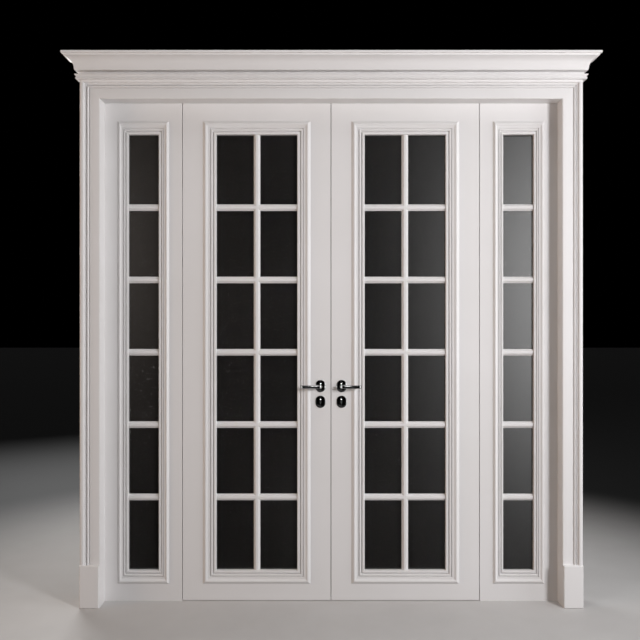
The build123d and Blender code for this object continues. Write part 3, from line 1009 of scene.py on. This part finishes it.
    def build(self, palette: Palette) -> list[bpy.types.Object]:
        """Builds the rosettes on the leaf and the levers on the handle.

        Args:
            palette: the finishes.

        Returns:
            The pieces.
        """
        word = self.side.word
        plates = [self.rosette(face, self.z - drop, drop > 0)
                  for face in Face for drop in (0.0, self.key_drop)]
        pieces = [make_piece(f"{word}_rosettes_domed", joined(plates), palette.chrome, f"{word}_leaf",
                             Slot.CHROME, f"{word}_rosettes")]
        for face in Face:
            node = f"{word}_{face.word}_lever"
            pieces.append(make_piece(f"{node}_rounded", self.lever(face), palette.chrome,
                                     f"{word}_handle", Slot.CHROME, node))
        return pieces


@dataclass
class Screws:
    """Countersunk screw heads in the lock's faceplate and in the strike."""

    radius: float = 3.4 * MM
    proud: float = 0.12 * MM
    sunk: float = 1.32 * MM
    recess: float = 1.1 * MM
    arm_long: float = 1.9 * MM
    arm_wide: float = 0.62 * MM
    arm_power: int = 8
    crown_power: int = 4
    turn_radians: float = 0.35
    head_points: int = 40
    head_rings: int = 12
    plate_end: float = 9.0 * MM

    def head(self, centre: Place, out: float) -> Mesh:
        """One head facing along X: a crowned disc with a cross sunk where either arm covers a point.

        The crown falls with a power of the share of the radius. An arm covers a point by the
        exponential of minus the summed powers of its two distances, counted in the arm's sizes.

        Args:
            centre: the middle of the head on the plate.
            out: the sign of X that it faces.

        Returns:
            Points and faces, closed behind.
        """
        share = np.linspace(0.0, 1.0, self.head_rings)[:, None]
        angle = np.linspace(0.0, 2 * np.pi, self.head_points, endpoint=False)[None] + self.turn_radians
        y, z = share * self.radius * np.cos(angle), share * self.radius * np.sin(angle)

        def arm(along: np.ndarray, across: np.ndarray) -> np.ndarray:
            """How far a point lies in an arm of the cross, from 0 to 1."""
            return np.exp(-((along / self.arm_long) ** self.arm_power)
                          - (across / self.arm_wide) ** self.arm_power)

        cross = np.maximum(arm(y, z), arm(z, y))
        height = self.proud * (1 - share**self.crown_power) - self.recess * cross
        top = np.stack([centre[0] + out * height, centre[1] + y, centre[2] + z], -1)
        back = top[-1:].copy()
        back[..., 0] = centre[0] - out * self.sunk
        points = np.concatenate([top, back])
        cap = np.arange(self.head_points)[None] + self.head_rings * self.head_points
        return points.reshape(-1, 3), [grid_faces(len(points), self.head_points, False, True), cap]

    def build(self, palette: Palette) -> list[bpy.types.Object]:
        """Builds the heads near both ends of each plate, in the middle of its depth.

        Args:
            palette: the finishes.

        Returns:
            The pieces.
        """
        pieces: list[bpy.types.Object] = []
        for node, side in (("lock_case", Side.RIGHT), ("strike_plate", Side.LEFT)):
            low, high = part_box(node)
            face_x = low.x if side is Side.RIGHT else high.x
            heights = (low.z + self.plate_end, high.z - self.plate_end)
            heads = [self.head((face_x, (low.y + high.y) / 2, z), -side.value) for z in heights]
            pieces.append(make_piece(f"{node}_screws", joined(heads), palette.steel,
                                     f"{side.word}_leaf", Slot.STEEL))
        return pieces


# Studio


@dataclass(frozen=True)
class SoftBox:
    """A rectangular studio lamp."""

    name: str
    place: Place
    size: Pair
    power: float
    colour: Colour = (1.0, 1.0, 1.0)
    mirrored: bool = True

    def hang(self, aim: Place) -> None:
        """Hangs the lamp, turned to a point.

        Args:
            aim: the point that it faces.
        """
        data = bpy.data.lights.new(self.name, "AREA")
        data.shape = "RECTANGLE"
        data.size, data.size_y = self.size
        data.energy, data.color = self.power, self.colour
        lamp = bpy.data.objects.new(self.name, data)
        lamp.location = self.place
        lamp.rotation_euler = (Vector(aim) - Vector(self.place)).to_track_quat("-Z", "Y").to_euler()
        lamp.visible_glossy = self.mirrored
        lamp.visible_transmission = False
        bpy.context.scene.collection.objects.link(lamp)


@dataclass(frozen=True)
class Card:
    """A glowing card in front of the door that only the glass mirrors."""

    name: str
    place: Place
    spread: Pair
    glow: float
    colour: Colour = (1.0, 1.0, 1.0)
    reach: float = 3.0

    def finish(self) -> bpy.types.Material:
        """Builds a glow that is brightest in the middle of the card.

        It falls off as the exponential of minus half the squared distance from the middle,
        counted in the card's two spreads.

        Returns:
            The material.
        """
        material = bpy.data.materials.new(self.name)
        material.use_nodes = True
        tree = material.node_tree
        tree.nodes.clear()
        scale = (1 / self.spread[0], 1.0, 1 / self.spread[1])
        shift = tuple(-along * times for along, times in zip(self.place, scale))
        mapping = add_node(tree, "Mapping", Vector=add_node(tree, "TexCoord").outputs["Object"],
                           Location=shift, Scale=scale)
        away = mapping.outputs["Vector"]
        square = add_node(tree, "VectorMath", operation="DOT_PRODUCT", input_0=away, input_1=away)
        half = add_node(tree, "Math", operation="MULTIPLY", input_0=square.outputs["Value"], input_1=-0.5)
        falloff = add_node(tree, "Math", operation="EXPONENT", input_0=half.outputs[0])
        glow = add_node(tree, "Math", operation="MULTIPLY", input_0=falloff.outputs[0], input_1=self.glow)
        light = add_node(tree, "Emission", Color=rgba(self.colour), Strength=glow.outputs[0])
        add_node(tree, "OutputMaterial", Surface=light.outputs[0])
        return material

    def stand(self, panes: bpy.types.Collection) -> None:
        """Stands the card up, upright and facing the door.

        Args:
            panes: the parts that mirror it.
        """
        x, y, z = self.place
        wide, tall = self.spread[0] * self.reach, self.spread[1] * self.reach
        corners = [(x - wide, y, z - tall), (x + wide, y, z - tall),
                   (x + wide, y, z + tall), (x - wide, y, z + tall)]
        data = bpy.data.meshes.new(self.name)
        data.from_pydata(corners, [], [(0, 1, 2, 3)])
        data.materials.append(self.finish())
        sheet = bpy.data.objects.new(self.name, data)
        sheet.visible_camera = sheet.visible_diffuse = False
        sheet.visible_shadow = sheet.visible_transmission = False
        bpy.context.scene.collection.objects.link(sheet)
        sheet.light_linking.receiver_collection = panes


# The fill from the left is warm on the paint, and chrome mirrors the neutral glint in its place.
LAMPS = (
    SoftBox("key_softbox", (2.85, -3.1, 2.0), (0.7, 1.0), 112.0, (0.99, 0.98, 1.0), mirrored=False),
    SoftBox("right_softbox", (4.4, -1.6, 1.6), (1.6, 3.0), 50.0),
    SoftBox("left_softbox", (-4.6, -1.4, 1.6), (1.6, 3.0), 28.0, (1.0, 0.50, 0.14), mirrored=False),
    SoftBox("left_glint", (-4.6, -1.4, 0.8), (1.6, 1.4), 20.0),
    SoftBox("top_softbox", (0.4, -0.5, 4.6), (2.6, 0.4), 30.0, mirrored=False),
    SoftBox("spark_softbox", (0.04, -3.35, 1.5), (0.3, 0.3), 3.0),
    SoftBox("back_softbox", (-2.6, 4.2, 2.6), (3.0, 3.0), 150.0),
)
CARDS = (
    Card("bright_card", (2.6, -4.1, 1.75), (0.75, 1.35), 6.4),
    Card("dim_card", (-2.7, -4.1, 2.0), (0.75, 1.1), 0.9, (1.0, 0.86, 0.76)),
)


@dataclass
class Studio:
    """Floor, world, lamps, cards and camera."""

    camera_at: Place = (-0.0505, -3.220, 1.2916)
    lens: float = 40.0
    sensor: float = 36.0
    aim: Place = (0.0, 0.0, 1.3)
    floor_half: float = 30.0
    dark: Colour = (0.0, 0.0, 0.0)
    mirrored_grey: Colour = (0.05, 0.05, 0.05)
    world_light: Colour = (1.0, 0.90, 0.85)
    sky_strength: float = 0.04
    bounce_strength: float = 0.25
    horizon: float = 0.25

    def floor(self) -> None:
        """Lays a square floor, which the lamps light and the door's own surfaces don't see."""
        half = self.floor_half
        data = bpy.data.meshes.new("floor")
        corners = [(-half, -half, 0.0), (half, -half, 0.0), (half, half, 0.0), (-half, half, 0.0)]
        data.from_pydata(corners, [], [(0, 1, 2, 3)])
        data.materials.append(FloorPaint("floor").make())
        floor = bpy.data.objects.new("floor", data)
        floor.visible_diffuse = floor.visible_glossy = floor.visible_shadow = False
        bpy.context.scene.collection.objects.link(floor)

    def world(self) -> None:
        """Sets a soft light, stronger from the floor's side, that only matt surfaces see.

        Shiny surfaces mirror an even grey, and what is seen directly or through glass is dark.
        """
        world = bpy.data.worlds.new("studio")
        bpy.context.scene.world = world
        world.use_nodes = True
        tree = world.node_tree
        tree.nodes.clear()

        def light(colour: Colour, strength: float = 1.0) -> bpy.types.NodeSocket:
            """An even background."""
            return add_node(tree, "Background", Color=rgba(colour), Strength=strength).outputs[0]

        def mixed(share: bpy.types.NodeSocket, low: bpy.types.NodeSocket,
                  high: bpy.types.NodeSocket) -> bpy.types.NodeSocket:
            """One background where the share is 0 and the other where it is 1."""
            return add_node(tree, "MixShader", input_0=share, input_1=low, input_2=high).outputs[0]

        way = add_node(tree, "SeparateXYZ", Vector=add_node(tree, "TexCoord").outputs["Generated"])
        rise = add_node(tree, "MapRange", interpolation_type="SMOOTHSTEP", Value=way.outputs["Z"],
                        From_Min=-self.horizon, From_Max=self.horizon)
        bounce = light(self.world_light, self.bounce_strength)
        soft = mixed(rise.outputs["Result"], bounce, light(self.world_light, self.sky_strength))
        rays = add_node(tree, "LightPath").outputs
        either = add_node(tree, "Math", operation="MAXIMUM", input_0=rays["Is Camera Ray"],
                          input_1=rays["Is Transmission Ray"])
        indirect = mixed(rays["Is Glossy Ray"], soft, light(self.mirrored_grey))
        shown = mixed(either.outputs[0], indirect, light(self.dark))
        add_node(tree, "OutputWorld", Surface=shown)

    def panes(self) -> bpy.types.Collection:
        """Gathers the glass of the door.

        Returns:
            The collection of panes.
        """
        panes = bpy.data.collections.new("panes")
        for node, part in frame["nodes"].items():
            if node.endswith("_glass"):
                panes.objects.link(part)
        return panes

    def camera(self) -> None:
        """Sets up a level camera that looks straight at the wall."""
        data = bpy.data.cameras.new("camera")
        data.lens, data.sensor_width = self.lens, self.sensor
        camera = bpy.data.objects.new("camera", data)
        camera.location = self.camera_at
        camera.rotation_euler = (math.pi / 2, 0.0, 0.0)
        bpy.context.scene.collection.objects.link(camera)
        bpy.context.scene.camera = camera

    def build(self) -> None:
        """Sets up everything round the door."""
        self.floor()
        self.world()
        for box in LAMPS:
            box.hang(self.aim)
        panes = self.panes()
        for card in CARDS:
            card.stand(panes)
        self.camera()
        bpy.context.scene.view_settings.view_transform = "Standard"


def dress_parts(palette: Palette) -> None:
    """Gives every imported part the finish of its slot, brushed along its length.

    Args:
        palette: the finishes.
    """
    for part in frame["record"]["subparts"]:
        node = part["node"]
        run = Run.LEVEL if any(word in node for word in LEVEL_WORDS) else Run.UPRIGHT
        data = frame["nodes"][node].data
        data.materials.clear()
        data.materials.append(palette.for_slot(Slot(part["material_slot"]), run))
        LOG.info("part %s: %s", node, data.materials[0].name)


def main() -> None:
    """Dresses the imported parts, builds each sub-assembly and sets the studio."""
    palette = Palette()
    dress_parts(palette)
    pieces = Casing().build(palette)
    for side in Side:
        for panel in Panel:
            pieces += Glazing(side, panel).build(palette)
        pieces += Furniture(side).build(palette)
    pieces += Screws().build(palette)
    for piece in pieces:
        LOG.info("piece %s: %d faces", piece.name, len(piece.data.polygons))
    Studio().build()


if __name__ == "__main__":
    main()
